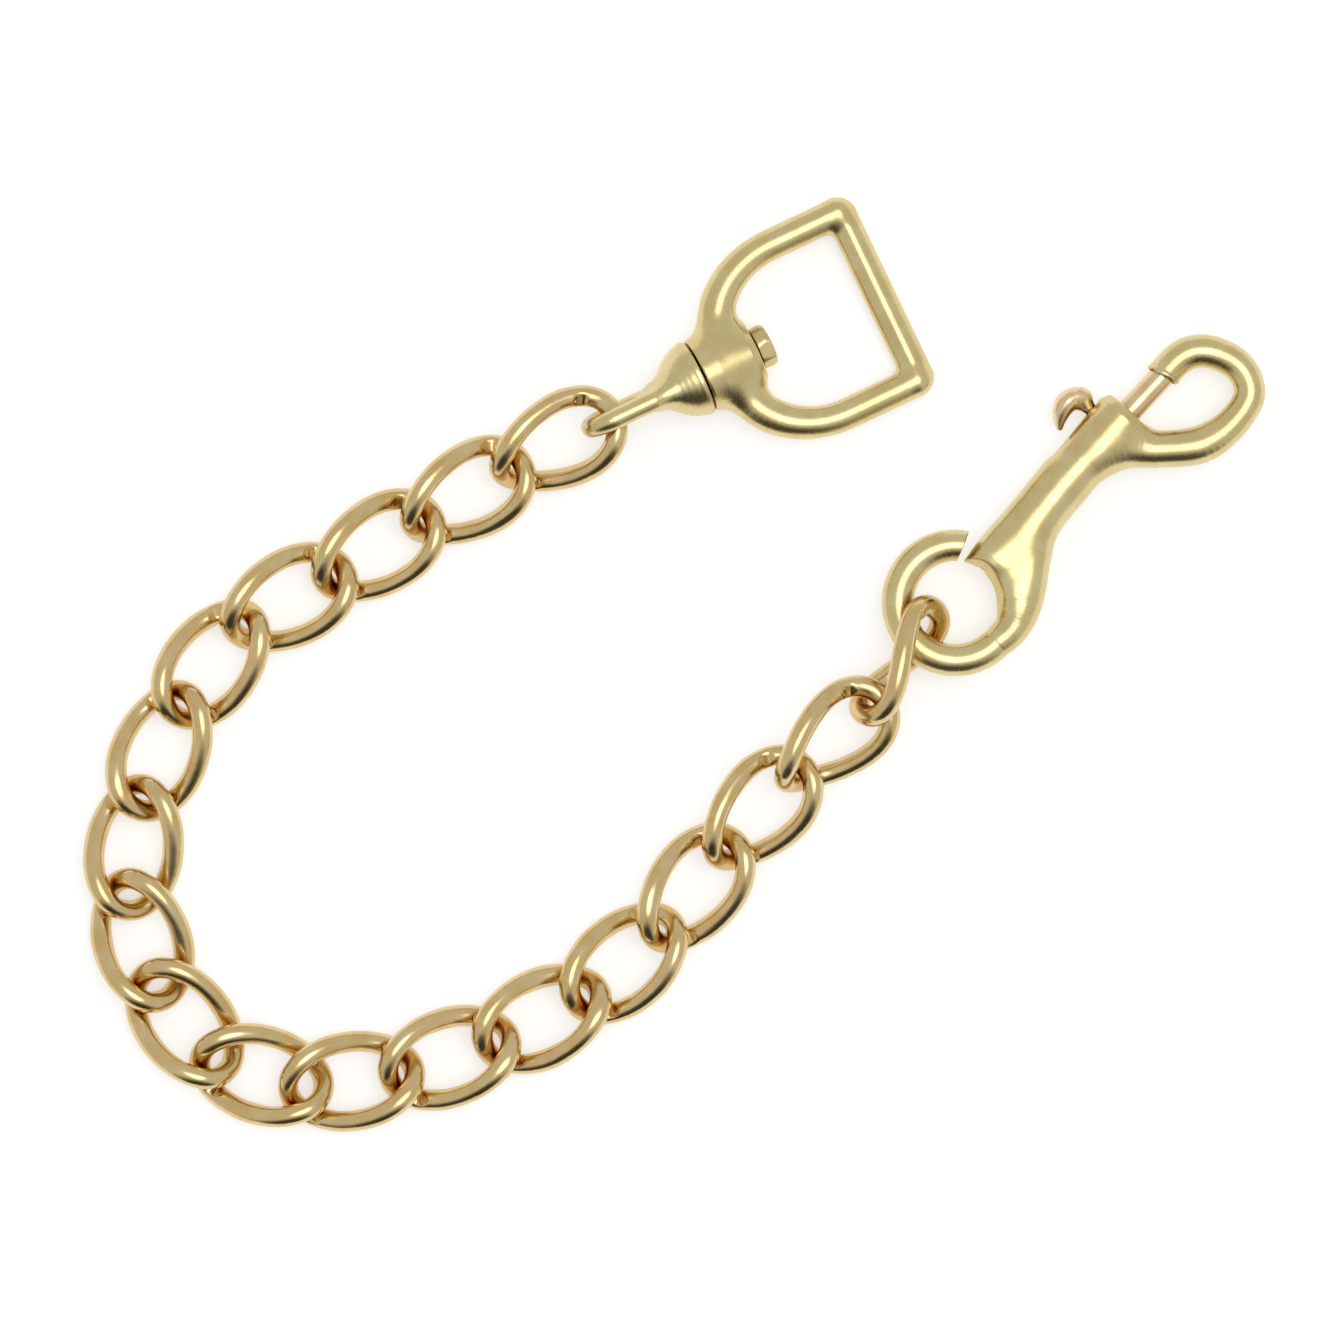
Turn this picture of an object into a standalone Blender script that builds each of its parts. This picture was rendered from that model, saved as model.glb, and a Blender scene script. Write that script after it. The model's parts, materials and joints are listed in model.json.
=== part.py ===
"""Brass lead chain laid in a U: a strap dee with a riveted swivel, twisted curb links and an open-eye bolt snap.

Metres, +Z up, +X to the right of the laid U. The pieces lie on the plane z = 0.
"""
import math

import bmesh
import bpy
from mathutils import Matrix, Vector

MM = 0.001

# Fits
SEAT_GAP = 0.3 * MM      # between faces that seat on each other
RUNNING_GAP = 0.3 * MM   # round a pin, rod or stem that turns or slides
PRESS_GAP = 0.05 * MM    # round a stem screwed home, and inside a spring

# Chain link: one wire bent to an oval and twisted half one way at each end
LINK_WIRE = 3.5 * MM
LINK_INNER_LENGTH = 17.5 * MM
LINK_INNER_WIDTH = 9.5 * MM
LINK_TWIST = math.radians(38)
LINK_FULLNESS = 2.3      # exponent of the oval: 2 is an ellipse, more is squarer
LINK_STEPS = 24

# How each link lies: turn from the piece before, roll about its length, rise of its far end (all degrees),
# lift above its lowest resting place and free play at its far end (both mm)
LINK_LAY = (
    (2.5, -24, -7, 0.4, 0.4),
    (2, -21, -2, 0.1, 0.4),
    (2, -14, 0, 0.2, 0.5),
    (-4, -13, 0, 0.0, 0.7),
    (24, 5, 0, 0.0, 0.8),
    (15, 7, 0, 0.0, 0.8),
    (15, 5, 0, 0.0, 1.8),
    (25, 3, 0, 0.0, 1.8),
    (21, -3, 0, 0.0, 1.5),
    (36, 0, 0, 0.0, 2.3),
    (24, -2, 0, 0.0, 0.8),
    (11, -3, 0, 0.0, 1.0),
    (8, -5, 0, 0.0, 1.0),
    (14, -4, 0, 0.0, 0.7),
    (11, 13, 0, 0.0, 0.6),
    (-4, 20, 6, 0.2, 0.6),
    (-7, 36, 1, 1.7, 0.6),
    (16, 87, -8, 0.0, 0.7),
)

# Swivel: dome, eye loop and the pin that is riveted over inside the dee
SWIVEL_PLACE = (4.08 * MM, 47.72 * MM)
SWIVEL_HEADING = 25.5
DOME_RADIUS = 6.45 * MM
DOME_LENGTH = 5.9 * MM
PIN_RADIUS = 2.6 * MM
RIVET_RADIUS = 3.6 * MM
RIVET_LENGTH = 2.6 * MM
EYE_WIRE = 3.4 * MM
EYE_SIDE_PLAY = 0.9 * MM
EYE_REACH = 18.0 * MM    # from the dome's seat to the inside of the loop's end
EYE_SLIP = (0.9 * MM, 0.4 * MM)   # from the loop's end to where the first link sits in it
EYE_TILT = 97

# Dee: a bored barrel with a wire bow for a 1 inch strap
DEE_BARREL_RADIUS = 6.2 * MM
DEE_BARREL_TAPER = 0.86  # radius at the rivet's end over radius at the dome
DEE_BARREL_LENGTH = 10.0 * MM
DEE_WIRE = 5.2 * MM
DEE_STRAP_WIDTH = 25.4 * MM
DEE_REACH = 32.9 * MM    # from the dome's seat to the middle of the strap bar
DEE_CORNER = 2.6 * MM
DEE_SIDE_SET = -0.7 * MM  # the cast bow sits a little to one side of its barrel

# Bolt snap: open eye, bored barrel and hook in one casting, with a sprung bolt
SNAP_TURN = -10           # from the last link's heading
SNAP_DIP = 2
SNAP_SLIP = (1.4 * MM, 1.4 * MM)   # from the eye's far inner edge to where the last link sits on it
BOLT_RADIUS = 2.05 * MM
BOLT_TRAVEL = 8.0 * MM
BARREL_WALL = 2.65 * MM  # at the nose
BARREL_LENGTH = 37.2 * MM
BORE_DEPTH = 29.5 * MM   # blind bolt bore, from the nose
VENT_RADIUS = 0.8 * MM   # from the bore's end out into the eye
SNAP_EYE_RADIUS = 6.8 * MM
SNAP_EYE_WIRE = 5.3 * MM
SNAP_EYE_PLACE = (-43.5 * MM, -0.5 * MM)
EYE_DRESSING = 0.4 * MM  # how far the casting is left proud inside the eye
BOLT_CHAMFER = 0.3 * MM
SPIGOT_RADIUS = 0.9 * MM
STUD_TOP = 7.2 * MM
LEVER_WIRE = 2.4 * MM
LEVER_BREADTH = 1.9      # how much broader than thick the lever is
HOOK_MOUTH = 7.0 * MM    # from the nose to the end of the hook's tip
SOCKET_DEPTH = 1.2 * MM
SOCKET_LIP = 0.25 * MM   # of the hook's tip round the bolt's socket
STEM_RADIUS = 0.9 * MM
STEM_PLACE = -5.0 * MM
BOLT_TAIL = 5.0 * MM     # from the stem to the shoulder that the spring pushes on
SPIGOT_LENGTH = 3.0 * MM # on the bolt's tail, inside the spring
SPRING_WIRE = 0.55 * MM
SPRING_TURNS = 8

ROUND_STEPS = 24
WIRE_RING = 2            # bevel resolution of the wires: eight flats round

BRASS_CAST = ("cast_brass", (0.66, 0.52, 0.28, 1.0), 0.34, 1.0)
BRASS_WIRE = ("drawn_brass", (0.64, 0.46, 0.20, 1.0), 0.24, 1.0)
STEEL = ("spring_steel", (0.42, 0.42, 0.43, 1.0), 0.35, 1.0)


def clear_scene():
    for item in list(bpy.data.objects):
        bpy.data.objects.remove(item, do_unlink=True)


def material(spec):
    """The material of a spec, made once."""
    name, colour, roughness, metallic = spec
    found = bpy.data.materials.get(name)
    if found:
        return found
    made = bpy.data.materials.new(name)
    made.use_nodes = True
    shader = made.node_tree.nodes["Principled BSDF"]
    shader.inputs["Base Color"].default_value = colour
    shader.inputs["Roughness"].default_value = roughness
    shader.inputs["Metallic"].default_value = metallic
    return made


def mesh_object(name, bm, spec):
    bmesh.ops.recalc_face_normals(bm, faces=bm.faces)
    mesh = bpy.data.meshes.new(name)
    bm.to_mesh(mesh)
    bm.free()
    mesh.polygons.foreach_set("use_smooth", [True] * len(mesh.polygons))
    made = bpy.data.objects.new(name, mesh)
    made.data.materials.append(material(spec))
    bpy.context.scene.collection.objects.link(made)
    return made


def wire(name, points, diameter, spec, closed=False, flat_side=False):
    """A round wire along points (x, y, z, thickness factor), as a mesh object.

    flat_side turns the eight flats so that one faces sideways out of the curve's plane of Z.
    """
    curve = bpy.data.curves.new(name + "_line", "CURVE")
    curve.dimensions = "3D"
    curve.twist_mode = "Z_UP" if flat_side else "MINIMUM"
    curve.bevel_depth = diameter / 2
    curve.bevel_resolution = WIRE_RING
    curve.use_fill_caps = not closed
    spline = curve.splines.new("POLY")
    spline.points.add(len(points) - 1)
    for place, (x, y, z, factor) in zip(spline.points, points):
        place.co = (x, y, z, 1.0)
        place.radius = factor
        place.tilt = math.pi / 8 if flat_side else 0.0
    spline.use_cyclic_u = closed
    holder = bpy.data.objects.new(name + "_line", curve)
    bpy.context.scene.collection.objects.link(holder)
    bm = bmesh.new()
    bm.from_mesh(bpy.data.meshes.new_from_object(holder.evaluated_get(bpy.context.evaluated_depsgraph_get())))
    bpy.data.objects.remove(holder, do_unlink=True)
    bmesh.ops.remove_doubles(bm, verts=bm.verts, dist=0.001 * MM)
    return mesh_object(name, bm, spec)


def turned(name, profile, spec, steps=ROUND_STEPS):
    """A solid turned about the X axis from a profile of (x, radius) that starts and ends on the axis."""
    bm = bmesh.new()
    verts = [bm.verts.new((x, radius, 0.0)) for x, radius in profile]
    edges = [bm.edges.new(pair) for pair in zip(verts, verts[1:])]
    bmesh.ops.spin(
        bm, geom=verts + edges, cent=(0, 0, 0), axis=(1, 0, 0), angle=math.tau, steps=steps, use_merge=True
    )
    bmesh.ops.remove_doubles(bm, verts=bm.verts, dist=0.001 * MM)
    return mesh_object(name, bm, spec)


def rod(name, start, end, radius, spec, along="X", steps=ROUND_STEPS):
    """A plain cylinder from start to end along an axis of its own frame."""
    made = turned(name, ((start, 0), (start, radius), (end, radius), (end, 0)), spec, steps)
    turn = {"X": Matrix(), "Y": Matrix.Rotation(math.pi / 2, 4, "Z"), "Z": Matrix.Rotation(-math.pi / 2, 4, "Y")}
    made.data.transform(turn[along])
    return made


def block(name, low, high, spec):
    bm = bmesh.new()
    bmesh.ops.create_cube(bm, size=1.0)
    size = [b - a for a, b in zip(low, high)]
    middle = [(a + b) / 2 for a, b in zip(low, high)]
    bmesh.ops.scale(bm, verts=bm.verts, vec=size)
    bmesh.ops.translate(bm, verts=bm.verts, vec=middle)
    return mesh_object(name, bm, spec)


def combine(target, tool, operation):
    """Joins a tool to the target, or cuts it away. The tool stays as a hidden construction piece."""
    tool.parent = target
    tool.hide_render = True
    tool.display_type = "WIRE"
    change = target.modifiers.new(operation.lower() + "_" + tool.name, "BOOLEAN")
    change.operation = operation
    change.solver = "EXACT"
    change.object = tool


def empty(name, matrix):
    made = bpy.data.objects.new(name, None)
    bpy.context.scene.collection.objects.link(made)
    made.matrix_world = matrix
    return made


def hang(piece, holder, matrix=Matrix()):
    piece.parent = holder
    piece.matrix_local = matrix


def frame(place, heading, dip=0.0):
    """A frame whose X points along a heading and down by a dip, both in degrees."""
    turn = Matrix.Rotation(math.radians(heading), 4, "Z")
    return Matrix.Translation(place) @ turn @ Matrix.Rotation(math.radians(dip), 4, "Y")


# --- chain ---------------------------------------------------------------------------------------------

def power(value, exponent):
    return math.copysign(abs(value) ** exponent, value)


def link_line():
    """Points of the twisted oval, its length along X, centred."""
    half_length = (LINK_INNER_LENGTH + LINK_WIRE) / 2
    half_width = (LINK_INNER_WIDTH + LINK_WIRE) / 2
    points = []
    for step in range(LINK_STEPS):
        angle = math.tau * step / LINK_STEPS
        x = half_length * power(math.cos(angle), 2 / LINK_FULLNESS)
        side = half_width * power(math.sin(angle), 2 / LINK_FULLNESS)
        twist = -LINK_TWIST * x / half_length
        points.append(Vector((x, side * math.cos(twist), side * math.sin(twist))))
    return points


def link_attitude(roll, rise):
    return Matrix.Rotation(math.radians(-rise), 4, "Y") @ Matrix.Rotation(math.radians(roll), 4, "X")


def resting_height(attitude):
    """Height of a link's centre when its lowest wire touches z = 0."""
    return LINK_WIRE / 2 - min((attitude @ point).z for point in link_line())


def chain(start, heading):
    """Lays the links from a start point. Returns where the chain ends and its last heading."""
    points = [(*point, 1.0) for point in link_line()]
    place = Vector((start.x, start.y, 0.0))
    before = 0.0
    for number, (turn, roll, rise, lift, play) in enumerate(LINK_LAY, start=1):
        heading += turn
        name = f"chain_link_{number:02d}"
        attitude = link_attitude(roll, rise)
        height = resting_height(attitude) + lift * MM
        holder = empty("pivot_" + name, frame(place, heading))
        near = LINK_INNER_LENGTH / 2 - before / 2
        far = LINK_INNER_LENGTH / 2 - play * MM / 2
        link = wire(name, points, LINK_WIRE, BRASS_WIRE, closed=True)
        hang(link, holder, Matrix.Translation((near, 0, height)) @ attitude)
        place = frame(place, heading) @ Vector((near + far, 0, 0))
        before = play * MM
    return place, heading, before


# --- swivel and dee ------------------------------------------------------------------------------------

def swivel_profile():
    seat = -SEAT_GAP / 2
    head = DEE_BARREL_LENGTH + 1.5 * SEAT_GAP
    return (
        (-DOME_LENGTH, 0),
        (-DOME_LENGTH, 0.45 * DOME_RADIUS),
        (-0.92 * DOME_LENGTH, 0.65 * DOME_RADIUS),
        (-0.72 * DOME_LENGTH, 0.84 * DOME_RADIUS),
        (-0.42 * DOME_LENGTH, 0.96 * DOME_RADIUS),
        (-0.16 * DOME_LENGTH, DOME_RADIUS),
        (seat, 0.97 * DOME_RADIUS),
        (seat, PIN_RADIUS),
        (head, PIN_RADIUS),
        (head, RIVET_RADIUS),
        (head + 0.8 * RIVET_LENGTH, RIVET_RADIUS),
        (head + RIVET_LENGTH, 0.85 * RIVET_RADIUS),
        (head + RIVET_LENGTH, 0),
    )


def eye_line():
    """The loop in its own plane, from the dome round the end and back."""
    half = (LINK_WIRE + EYE_SIDE_PLAY + EYE_WIRE) / 2
    end = -(EYE_REACH + EYE_WIRE / 2)
    root = -0.75 * DOME_LENGTH
    arm = ((root, 0.78 * half, 1.15), (root - half, half, 1.0))
    points = [(x, side, 0.0, factor) for x, side, factor in arm]
    for step in range(11):
        angle = math.pi * step / 10
        points.append((end + half - half * math.sin(angle), half * math.cos(angle), 0.0, 1.0))
    points += [(x, -side, 0.0, factor) for x, side, factor in reversed(arm)]
    return points


def swivel_eye(holder):
    eye = turned("swivel_eye", swivel_profile(), BRASS_CAST)
    loop = wire("swivel_loop_wire", eye_line(), EYE_WIRE, BRASS_CAST)
    combine(eye, loop, "UNION")
    loop.matrix_local = Matrix.Rotation(math.radians(EYE_TILT), 4, "X")
    hang(eye, holder)


def dee_line():
    """The dee's wire from inside the barrel, out, along the strap bar and back."""
    half = (DEE_STRAP_WIDTH + DEE_WIRE) / 2
    root_x = 0.55 * DEE_BARREL_LENGTH
    root_y = 0.55 * DEE_BARREL_RADIUS
    swing = 2.0 * DEE_BARREL_LENGTH
    side = []
    for step in range(8):
        angle = math.radians(90) * step / 7
        x = root_x + (swing - root_x) * (1 - math.cos(angle))
        y = root_y + (half - root_y) * math.sin(angle)
        side.append((x, y, 0.0, 1.0 + 0.25 * math.cos(angle) ** 2))
    for step in range(5):
        angle = math.radians(90) * step / 4
        x = DEE_REACH - DEE_CORNER * (1 - math.sin(angle))
        y = half - DEE_CORNER * (1 - math.cos(angle))
        side.append((x, y, 0.0, 1.0))
    both = side + [(x, -y, z, factor) for x, y, z, factor in reversed(side)]
    return [(x, y + DEE_SIDE_SET, z, factor) for x, y, z, factor in both]


def dee_frame(holder):
    start = SEAT_GAP / 2
    end = start + DEE_BARREL_LENGTH
    edge = 0.6 * MM
    profile = (
        (start, 0),
        (start, DEE_BARREL_RADIUS - edge / 2),
        (start + edge / 2, DEE_BARREL_RADIUS),
        (end - 2 * edge, DEE_BARREL_RADIUS * DEE_BARREL_TAPER),
        (end, DEE_BARREL_RADIUS * DEE_BARREL_TAPER - 1.5 * edge),
        (end, 0),
    )
    dee = turned("dee_frame", profile, BRASS_CAST)
    combine(dee, wire("dee_wire", dee_line(), DEE_WIRE, BRASS_CAST, flat_side=True), "UNION")
    bore = rod("dee_bore", -DEE_BARREL_LENGTH, 2 * DEE_BARREL_LENGTH, PIN_RADIUS + RUNNING_GAP, BRASS_CAST)
    combine(dee, bore, "DIFFERENCE")
    hang(dee, holder)


def swivel_dip():
    """The dee and swivel lie on the dome's rim and the strap bar, so their axis dips to the bar."""
    return math.degrees(math.asin((DOME_RADIUS - DEE_WIRE / 2) / DEE_REACH))


# --- snap ----------------------------------------------------------------------------------------------

def barrel_profile():
    nose = BOLT_RADIUS + RUNNING_GAP + BARREL_WALL
    return (
        (-BARREL_LENGTH, 0),
        (-BARREL_LENGTH, 0.64 * nose),
        (-BARREL_LENGTH + 1.2 * MM, 0.72 * nose),
        (-24 * MM, 0.80 * nose),
        (-12 * MM, 0.90 * nose),
        (-4 * MM, nose),
        (-1.2 * MM, 0.96 * nose),
        (0, 0.82 * nose),
        (0, 0),
    )


def smooth(points, steps):
    """A round curve (Catmull-Rom) through hand-placed points of any number of values."""
    padded = [points[0]] + list(points) + [points[-1]]
    line = []
    for before, first, second, after in zip(padded, padded[1:], padded[2:], padded[3:]):
        for step in range(steps):
            t = step / steps
            line.append(tuple(
                0.5 * (2 * b + (c - a) * t + (2 * a - 5 * b + 4 * c - d) * t ** 2 + (3 * b - a - 3 * c + d) * t ** 3)
                for a, b, c, d in zip(before, first, second, after)
            ))
    line.append(tuple(points[-1]))
    return line


def snap_eye_line():
    """The open eye from its tip round to the web that runs into the barrel."""
    x, y = SNAP_EYE_PLACE
    radius = SNAP_EYE_RADIUS + SNAP_EYE_WIRE / 2
    points = []
    for step in range(15):
        angle = math.radians(40 + (270 - 40) * step / 14)
        factor = min(1.0, 0.78 + 0.11 * step)
        points.append((x + radius * math.cos(angle), y + radius * math.sin(angle), 0.0, factor))
    web = (
        (-38.4, -10.1, 1.02),
        (-34.6, -8.2, 1.12),
        (-29.8, -4.4, 1.22),
        (-24.5, -1.7, 1.3),
        (-17.0, -0.2, 1.3),
    )
    return points + [(a * MM, b * MM, 0.0, factor) for a, b, factor in web]


def hook_line():
    """The hook from inside the barrel round to its tip, on the bolt's axis."""
    tip = 2 * (BOLT_RADIUS + RUNNING_GAP + SOCKET_LIP) / SNAP_EYE_WIRE
    points = (
        (-9.5, -1.2, 1.10),
        (-5.5, -3.9, 1.26),
        (-1.9, -8.0, 1.14),
        (3.4, -12.2, 1.06),
        (9.1, -14.2, 1.0),
        (14.7, -12.6, 0.97),
        (16.9, -8.1, 1.0),
        (15.3, -2.9, 1.05),
        (11.8, -0.2, 1.07 * tip),
        (HOOK_MOUTH / MM, 0.0, tip),
    )
    return [(x * MM, y * MM, 0.0, factor) for x, y, factor in smooth(points, 3)]


def snap_body(holder):
    bore = BOLT_RADIUS + RUNNING_GAP
    body = turned("snap_body", barrel_profile(), BRASS_CAST)
    combine(body, wire("snap_eye_wire", snap_eye_line(), SNAP_EYE_WIRE, BRASS_CAST), "UNION")
    combine(body, wire("snap_hook_wire", hook_line(), SNAP_EYE_WIRE, BRASS_CAST), "UNION")
    hole = rod("snap_eye_hole", -SNAP_EYE_WIRE, SNAP_EYE_WIRE, SNAP_EYE_RADIUS - EYE_DRESSING, BRASS_CAST, along="Z")
    combine(body, hole, "DIFFERENCE")
    hole.location = (*SNAP_EYE_PLACE, 0)
    combine(body, rod("bolt_bore", -BORE_DEPTH, HOOK_MOUTH + SOCKET_DEPTH, bore, BRASS_CAST), "DIFFERENCE")
    vent = rod("vent_bore", -BARREL_LENGTH, -BORE_DEPTH + VENT_RADIUS, VENT_RADIUS, BRASS_CAST, steps=10)
    combine(body, vent, "DIFFERENCE")
    slot_half = STEM_RADIUS + RUNNING_GAP
    low = (STEM_PLACE - BOLT_TRAVEL - slot_half, 0, -slot_half)
    high = (STEM_PLACE + slot_half, 2 * BARREL_WALL + bore, slot_half)
    combine(body, block("thumb_slot", low, high, BRASS_CAST), "DIFFERENCE")
    hang(body, holder)


def snap_bolt(holder):
    end = HOOK_MOUTH + SOCKET_DEPTH - SEAT_GAP
    back = STEM_PLACE - BOLT_TAIL
    profile = (
        (back - SPIGOT_LENGTH, 0),
        (back - SPIGOT_LENGTH, SPIGOT_RADIUS),
        (back, SPIGOT_RADIUS),
        (back, BOLT_RADIUS),
        (end - BOLT_CHAMFER, BOLT_RADIUS),
        (end, BOLT_RADIUS - BOLT_CHAMFER),
        (end, 0),
    )
    bolt = turned("snap_bolt", profile, BRASS_CAST)
    seat = rod("stem_seat", 0, 2 * BOLT_RADIUS, STEM_RADIUS + PRESS_GAP, BRASS_CAST, along="Y", steps=12)
    combine(bolt, seat, "DIFFERENCE")
    seat.location = (STEM_PLACE, 0, 0)
    hang(bolt, holder)


def thumb_stud(holder):
    """Screwed-in stem with a curved lever that sweeps back along the barrel."""
    stud = rod("snap_thumb_stud", RUNNING_GAP, STUD_TOP, STEM_RADIUS, BRASS_CAST, along="Y", steps=12)
    stud.data.transform(Matrix.Translation((STEM_PLACE, 0, 0)))
    lever = (
        (1.1, 6.4, 0.8),
        (0.3, 7.7, 1.1),
        (-1.6, 8.4, 1.25),
        (-3.8, 7.7, 1.1),
        (-5.2, 6.4, 0.7),
    )
    points = [(STEM_PLACE + x * MM, y * MM, 0.0, factor) for x, y, factor in smooth(lever, 3)]
    paddle = wire("thumb_lever_wire", points, LEVER_WIRE, BRASS_CAST)
    paddle.data.transform(Matrix.Scale(LEVER_BREADTH, 4, (0, 0, 1)))
    combine(stud, paddle, "UNION")
    hang(stud, holder)


def snap_spring(holder):
    start = STEM_PLACE - BOLT_TAIL - SEAT_GAP - SPRING_WIRE / 2
    end = -BORE_DEPTH + SEAT_GAP + SPRING_WIRE / 2
    coil = BOLT_RADIUS - SPRING_WIRE / 2 - PRESS_GAP
    steps = SPRING_TURNS * 10
    points = []
    for step in range(steps + 1):
        angle = math.tau * SPRING_TURNS * step / steps
        x = start + (end - start) * step / steps
        points.append((x, coil * math.cos(angle), coil * math.sin(angle), 1.0))
    spring = wire("snap_spring", points, SPRING_WIRE, STEEL)
    hang(spring, holder)


def main():
    clear_scene()
    dip = swivel_dip()
    height = DOME_RADIUS * math.cos(math.radians(dip))
    swivel = empty("swivel_axis", frame((*SWIVEL_PLACE, height), SWIVEL_HEADING, dip))
    dee_frame(swivel)
    swivel_eye(swivel)
    start = swivel.matrix_world @ Vector((EYE_SLIP[0] - EYE_REACH, EYE_SLIP[1], 0))
    place, heading, play = chain(start, SWIVEL_HEADING + 180)
    heading += SNAP_TURN
    nose = BOLT_RADIUS + RUNNING_GAP + BARREL_WALL
    far_edge = SNAP_EYE_PLACE[0] - SNAP_EYE_RADIUS + play / 2
    contact = Vector((far_edge + SNAP_SLIP[0], SNAP_EYE_PLACE[1] + SNAP_SLIP[1], 0))
    attitude = frame((0, 0, 0), heading, SNAP_DIP)
    origin = place - attitude @ contact
    snap = empty("bolt_axis", Matrix.Translation((origin.x, origin.y, nose)) @ attitude)
    snap_body(snap)
    snap_bolt(snap)
    thumb_stud(snap)
    snap_spring(snap)


main()
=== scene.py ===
"""Looks of a brass lead chain: strap dee with a riveted swivel, twisted curb links, open-eye bolt snap.

Sizes in the builders are millimetres in each piece's own frame, and become metres when a mesh is made.
"""
import json
import math

import bmesh
import bpy
import numpy as np
from mathutils import Matrix, Vector


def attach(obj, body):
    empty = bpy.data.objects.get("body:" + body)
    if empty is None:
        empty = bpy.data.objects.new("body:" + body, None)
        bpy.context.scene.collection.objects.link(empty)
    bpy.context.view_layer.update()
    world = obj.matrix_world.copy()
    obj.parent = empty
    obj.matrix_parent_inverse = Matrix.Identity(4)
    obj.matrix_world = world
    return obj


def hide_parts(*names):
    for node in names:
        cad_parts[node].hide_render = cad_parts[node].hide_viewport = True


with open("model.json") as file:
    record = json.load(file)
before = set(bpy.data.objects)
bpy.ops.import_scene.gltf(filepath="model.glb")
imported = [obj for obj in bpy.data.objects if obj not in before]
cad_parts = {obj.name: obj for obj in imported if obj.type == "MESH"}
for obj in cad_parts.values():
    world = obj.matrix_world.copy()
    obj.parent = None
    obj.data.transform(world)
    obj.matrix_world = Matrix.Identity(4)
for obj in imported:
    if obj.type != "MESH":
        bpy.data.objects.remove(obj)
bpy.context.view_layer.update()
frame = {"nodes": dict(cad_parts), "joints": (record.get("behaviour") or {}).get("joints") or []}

MM = 0.001
LINK_WIRE = 3.5
LINK_INNER_LENGTH = 17.5
LINK_INNER_WIDTH = 9.5
LINK_TWIST = math.radians(38)
LINK_FULLNESS = 2.3
SWIVEL_HEADING = 25.5
EYE_REACH = 18.0
EYE_SLIP = (0.9, 0.4)
EYE_TILT = math.radians(97)
EYE_WIRE = 3.4
EYE_HALF = (LINK_WIRE + 0.9 + EYE_WIRE) / 2
DOME_RADIUS = 6.45
DOME_LENGTH = 5.9
PIN_RADIUS = 2.6
RIVET_RADIUS = 3.6
RIVET_LENGTH = 2.6
SEAT_GAP = 0.3
RUNNING_GAP = 0.3
BARREL_RADIUS = 6.2
BARREL_LENGTH = 10.0
DEE_WIRE = 5.2
DEE_HALF = (25.4 + DEE_WIRE) / 2
DEE_REACH = 32.9
DEE_SIDE_SET = -0.7
BOLT_RADIUS = 2.05
BOLT_TIP = 7.9
BORE_DEPTH = 29.5
SOCKET_END = 8.2
VENT_RADIUS = 0.75
STEM_PLACE = -5.0
STEM_RADIUS = 1.0
SNAP_LENGTH = 37.2
SNAP_NOSE = 5.0
EYE_CENTRE = (-43.5, -0.5)
RING_WIRE = 5.3 / 2                    # radius of the snap's open eye wire
EYE_RING = 6.8 + RING_WIRE
EYE_GAP_HEADING = math.radians(33)
HOOK_STEPS = 6

# Flats that the twisting jaws left on each link: shares of the way round it
JAW_PLACES = (0.62, 0.12)
JAW_DEPTH = (0.42, 0.12)               # least, and how much it varies
LINK_PERIMETER = 54.0

# Cell sizes of the castings' skins
DEE_CELL = 0.26
SWIVEL_CELL = 0.2
SNAP_CELL = 0.28
BOLT_CELL = 0.2
STUD_CELL = 0.16

# Camera: the view's and the sensor's widths in millimetres, the rest in metres
VIEW_WIDTH = 219.12
VIEW_MIDDLE = (-0.00167, 0.00045)
CAMERA_HEIGHT = 1.9
SENSOR_WIDTH = 36.0

# How each link lies: turn, roll and rise in degrees, lift and free play in millimetres
LINK_LAY = (
    (2.5, -24, -7, 0.4, 0.4),
    (2, -21, -2, 0.1, 0.4),
    (2, -14, 0, 0.2, 0.5),
    (-4, -13, 0, 0.0, 0.7),
    (24, 5, 0, 0.0, 0.8),
    (15, 7, 0, 0.0, 0.8),
    (15, 5, 0, 0.0, 1.8),
    (25, 3, 0, 0.0, 1.8),
    (21, -3, 0, 0.0, 1.5),
    (36, 0, 0, 0.0, 2.3),
    (24, -2, 0, 0.0, 0.8),
    (11, -3, 0, 0.0, 1.0),
    (8, -5, 0, 0.0, 1.0),
    (14, -4, 0, 0.0, 0.7),
    (11, 13, 0, 0.0, 0.6),
    (-4, 20, 6, 0.2, 0.6),
    (-7, 36, 1, 1.7, 0.6),
    (16, 87, -8, 0.0, 0.7),
)


# --- fields: signed distances in millimetres over points (n, 3) ------------------------------------------

def tube_field(points, line):
    """Distance to a round tube along a line of (x, y, z, radius)."""
    line = np.asarray(line, float)
    best = np.full(len(points), 1e9)
    for start, end in zip(line[:-1], line[1:]):
        along = end[:3] - start[:3]
        share = np.clip((points - start[:3]) @ along / max(along @ along, 1e-12), 0, 1)
        gap = points - start[:3] - share[:, None] * along
        best = np.minimum(best, np.sqrt((gap * gap).sum(1)) - start[3] - share * (end[3] - start[3]))
    return best


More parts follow.
